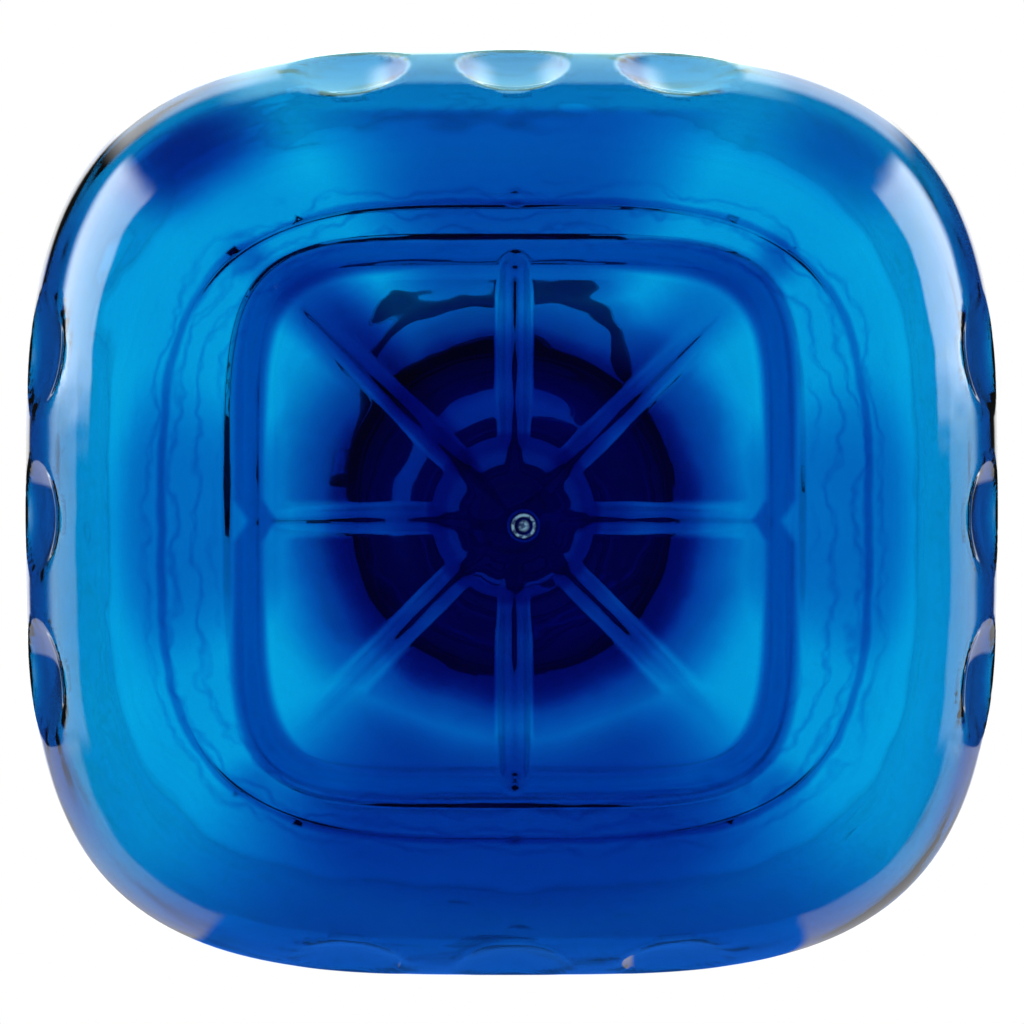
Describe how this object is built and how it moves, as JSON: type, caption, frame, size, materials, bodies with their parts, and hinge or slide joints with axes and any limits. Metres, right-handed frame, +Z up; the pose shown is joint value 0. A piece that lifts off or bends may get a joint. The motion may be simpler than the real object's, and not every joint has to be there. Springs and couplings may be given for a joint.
{
  "type": "swing top bottle",
  "caption": "Squarish clear plastic bottle with a ribbed push-up base and scalloped heel, closed by a stopper on a wire bail that a lever pulls down.",
  "frame": {"origin": "centre of the stand ring, on the surface that the bottle stands on", "axes": "+Z up along the bottle's axis, +X to the right, and the lever hangs at the front, towards -Y"},
  "size_m": [0.1, 0.0952, 0.2783],
  "materials": {
    "blue_pet": "clear blue tinted PET, blow-moulded and glossy",
    "sheet_steel": "stainless strip, satin",
    "plated_steel": "bright zinc plate",
    "steel_wire": "drawn stainless wire",
    "glazed_stopper": "white glazed porcelain",
    "gasket_rubber": "red rubber, matte"
  },
  "bodies": {
    "bottle": {"bottle": "blue_pet", "neck_band": "sheet_steel", "band_screw": "plated_steel", "band_nut": "plated_steel"},
    "lever": {"lever_wire": "steel_wire"},
    "bail": {"bail_wire": "steel_wire"},
    "stopper": {"stopper": "glazed_stopper", "gasket": "gasket_rubber"}
  },
  "joints": [
    {"name": "lever_pivot", "type": "hinge", "parent": "bottle", "child": "lever", "pos_m": [0, 0, 0.2445], "axis": [-1, 0, 0], "range_deg": [0, 140]},
    {"name": "bail_pivot", "type": "hinge", "parent": "lever", "child": "bail", "pos_m": [0, 0.00139, 0.23662], "axis": [-1, 0, 0], "range_deg": [-112, 0]},
    {"name": "stopper_pivot", "type": "hinge", "parent": "bail", "child": "stopper", "pos_m": [0, 0, 0.2719], "axis": [-1, 0, 0], "range_deg": [-28, 0]}
  ],
  "couplings": [
    {"joint": "bail_pivot", "follows": "lever_pivot", "ratio": -0.8},
    {"joint": "stopper_pivot", "follows": "lever_pivot", "ratio": -0.2}
  ]
}
